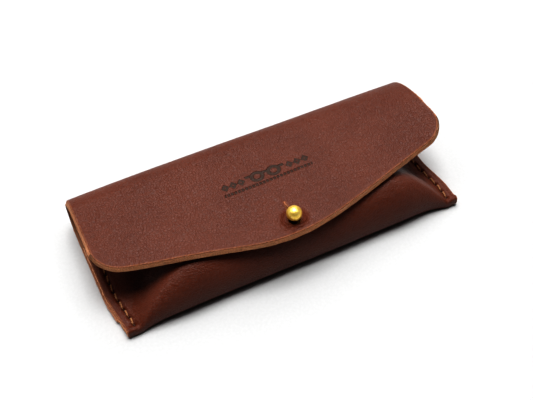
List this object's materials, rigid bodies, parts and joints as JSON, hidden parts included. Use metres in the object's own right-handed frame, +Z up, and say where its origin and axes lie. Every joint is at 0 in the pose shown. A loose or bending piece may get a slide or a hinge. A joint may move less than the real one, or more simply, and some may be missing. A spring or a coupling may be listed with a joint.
{
  "type": "eyeglasses case",
  "caption": "Soft leather eyeglasses case: a stitched pocket whose wrap-over flap buttons onto a brass ball stud.",
  "frame": {"origin": "middle of the closed case's footprint, on the surface it lies on", "axes": "+X along the case, +Y from the bottom fold to the top fold, +Z up through the flap and stud"},
  "size_m": [0.17, 0.071, 0.034],
  "materials": {
    "leather": "smooth pull-up leather, semi-gloss, raw tan cut edges",
    "thread": "waxed tan thread",
    "brass": "polished"
  },
  "bodies": {
    "case": {"case_body": "leather", "seam_thread_left": "thread", "seam_thread_right": "thread", "stud_head": "brass", "stud_screw": "brass"},
    "fold_1": {"fold_strip_1": "leather"},
    "fold_2": {"fold_strip_2": "leather"},
    "fold_3": {"fold_strip_3": "leather"},
    "fold_4": {"fold_strip_4": "leather"},
    "flap": {"flap": "leather", "buttonhole_lips": "leather"}
  },
  "joints": [
    {"name": "flap_fold_1", "type": "hinge", "parent": "case", "child": "fold_1", "pos_m": [0, 0.02586, 0.00151], "axis": [-1, 0, 0], "range_deg": [0, 34]},
    {"name": "flap_fold_2", "type": "hinge", "parent": "fold_1", "child": "fold_2", "pos_m": [0, 0.03219, 0.00611], "axis": [-1, 0, 0], "range_deg": [0, 34]},
    {"name": "flap_fold_3", "type": "hinge", "parent": "fold_2", "child": "fold_3", "pos_m": [0, 0.03461, 0.01355], "axis": [-1, 0, 0], "range_deg": [0, 34]},
    {"name": "flap_fold_4", "type": "hinge", "parent": "fold_3", "child": "fold_4", "pos_m": [0, 0.03219, 0.02099], "axis": [-1, 0, 0], "range_deg": [0, 34]},
    {"name": "flap_fold_5", "type": "hinge", "parent": "fold_4", "child": "flap", "pos_m": [0, 0.02586, 0.02559], "axis": [-1, 0, 0], "range_deg": [0, 34], "deforming": ["buttonhole_lips"]}
  ],
  "couplings": [
    {"joint": "flap_fold_2", "follows": "flap_fold_1", "ratio": 1},
    {"joint": "flap_fold_3", "follows": "flap_fold_1", "ratio": 1},
    {"joint": "flap_fold_4", "follows": "flap_fold_1", "ratio": 1},
    {"joint": "flap_fold_5", "follows": "flap_fold_1", "ratio": 1}
  ]
}
